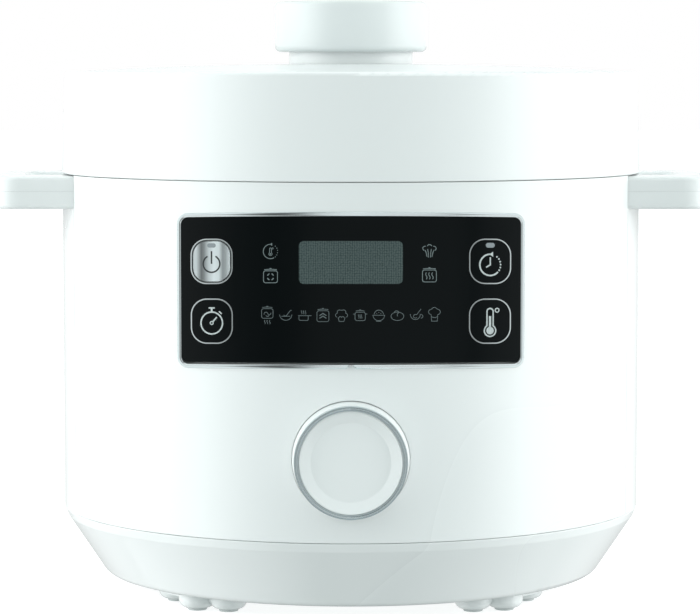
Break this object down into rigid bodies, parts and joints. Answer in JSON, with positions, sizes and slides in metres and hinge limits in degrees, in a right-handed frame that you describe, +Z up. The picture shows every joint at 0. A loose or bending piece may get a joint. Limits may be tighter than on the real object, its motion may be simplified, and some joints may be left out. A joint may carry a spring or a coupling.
{
  "type": "electric pressure cooker",
  "caption": "Round white countertop electric pressure cooker with a hinged locking lid, side handles, a curved front key panel and a large round dial.",
  "frame": {"origin": "on the upright centre axis, in the plane that the rubber feet stand on", "axes": "+Z up, front with the panel and dial towards -Y, +X to the right of a person facing the front"},
  "size_m": [0.375, 0.3326, 0.3107],
  "materials": {
    "body_white": "smooth gloss white with a very slight cool tint",
    "bright_trim": "bright plated trim",
    "panel_black": "gloss black",
    "display": "grey-green display window",
    "key_metal": "fine brushed",
    "inner_plastic": "matt light grey",
    "dark_plastic": "matt black",
    "steel": "satin stainless steel",
    "cast_aluminium": "cast, turned on top",
    "pot_coating": "aluminium with a dark non-stick coating",
    "rubber": "soft light grey rubber",
    "silicone": "translucent white silicone",
    "circuit_board": "green laminate",
    "clear_plastic": "clear",
    "brass": "plated contact pins",
    "lead_insulation": "soft insulation"
  },
  "bodies": {
    "housing": {"base_housing": "body_white", "foot_pads": "rubber", "body_screws": "steel", "front_shell": "body_white", "rear_shell": "body_white", "top_rim": "body_white", "handle_lower_left": "body_white", "handle_lower_right": "body_white", "panel_frame": "bright_trim", "panel_glass": "panel_black", "display_lens": "display", "panel_carrier": "inner_plastic", "key_rings": "bright_trim", "display_module": "inner_plastic", "control_board": "circuit_board", "dial_pocket": "body_white", "encoder_body": "dark_plastic", "outer_pot": "steel", "cooking_pot": "pot_coating", "heating_plate": "cast_aluminium", "heating_element": "steel", "sensor_spring": "steel", "thermal_cutout": "dark_plastic", "power_board": "circuit_board", "internal_leads": "lead_insulation", "inlet_socket": "dark_plastic", "inlet_pins": "brass", "hinge_bracket": "body_white", "hinge_pin": "steel", "cup_rails": "inner_plastic"},
    "lid": {"lid_cover": "body_white", "knob_collar": "body_white", "shaft_bush": "inner_plastic", "lid_plate": "steel", "lid_liner": "inner_plastic", "inner_lid": "steel", "gasket": "silicone", "inner_lid_nut": "steel", "valve_seat": "steel", "valve_shield": "steel", "steam_cap": "body_white", "hinge_arm": "steel", "lid_screws": "steel"},
    "lock": {"knob": "body_white", "knob_shaft": "steel", "lock_spider": "steel", "lock_ring": "steel"},
    "float_valve": {"float_pin": "steel"},
    "pressure_valve": {"valve_weight": "steel"},
    "sensor": {"thermal_sensor": "steel"},
    "dial_slide": {"encoder_slider": "inner_plastic"},
    "dial": {"dial_shaft": "steel", "dial_body": "body_white", "dial_ring": "bright_trim"},
    "key_power": {"power_key": "key_metal"},
    "key_timer": {"timer_key": "panel_black"},
    "key_delay": {"delay_key": "panel_black"},
    "key_temperature": {"temperature_key": "panel_black"},
    "cup": {"condensate_cup": "clear_plastic"}
  },
  "joints": [
    {"name": "lid_hinge", "type": "hinge", "parent": "housing", "child": "lid", "pos_m": [0, 0.1605, 0.226], "axis": [-1, 0, 0], "range_deg": [0, 85]},
    {"name": "lock_turn", "type": "hinge", "parent": "lid", "child": "lock", "pos_m": [0, 0, 0.226], "axis": [0, 0, -1], "range_deg": [0, 30]},
    {"name": "float_rise", "type": "slide", "parent": "lid", "child": "float_valve", "axis": [0, 0, 1], "range_m": [0, 0.003]},
    {"name": "valve_lift", "type": "slide", "parent": "lid", "child": "pressure_valve", "axis": [0, 0, 1], "range_m": [0, 0.002]},
    {"name": "sensor_press", "type": "slide", "parent": "housing", "child": "sensor", "axis": [0, 0, -1], "range_m": [0, 0.002], "stiffness_N_per_m": 600, "springref_m": -0.003, "deforming": ["sensor_spring"]},
    {"name": "dial_press", "type": "slide", "parent": "housing", "child": "dial_slide", "axis": [0, 1, 0], "range_m": [0, 0.001], "stiffness_N_per_m": 900, "springref_m": -0.0015},
    {"name": "dial_turn", "type": "hinge", "parent": "dial_slide", "child": "dial", "pos_m": [0, -0.1509, 0.0856], "axis": [0, -1, 0], "continuous": true},
    {"name": "power_key_press", "type": "slide", "parent": "housing", "child": "key_power", "axis": [0, 0.9972, -0.0748], "range_m": [0, 0.0008], "stiffness_N_per_m": 500, "springref_m": -0.002},
    {"name": "timer_key_press", "type": "slide", "parent": "housing", "child": "key_timer", "axis": [0, 0.9972, -0.0748], "range_m": [0, 0.0008], "stiffness_N_per_m": 500, "springref_m": -0.002},
    {"name": "delay_key_press", "type": "slide", "parent": "housing", "child": "key_delay", "axis": [0, 0.9972, -0.0748], "range_m": [0, 0.0008], "stiffness_N_per_m": 500, "springref_m": -0.002},
    {"name": "temperature_key_press", "type": "slide", "parent": "housing", "child": "key_temperature", "axis": [0, 0.9972, -0.0748], "range_m": [0, 0.0008], "stiffness_N_per_m": 500, "springref_m": -0.002},
    {"name": "cup_slide", "type": "slide", "parent": "housing", "child": "cup", "axis": [0, 1, 0], "range_m": [0, 0.04]}
  ]
}
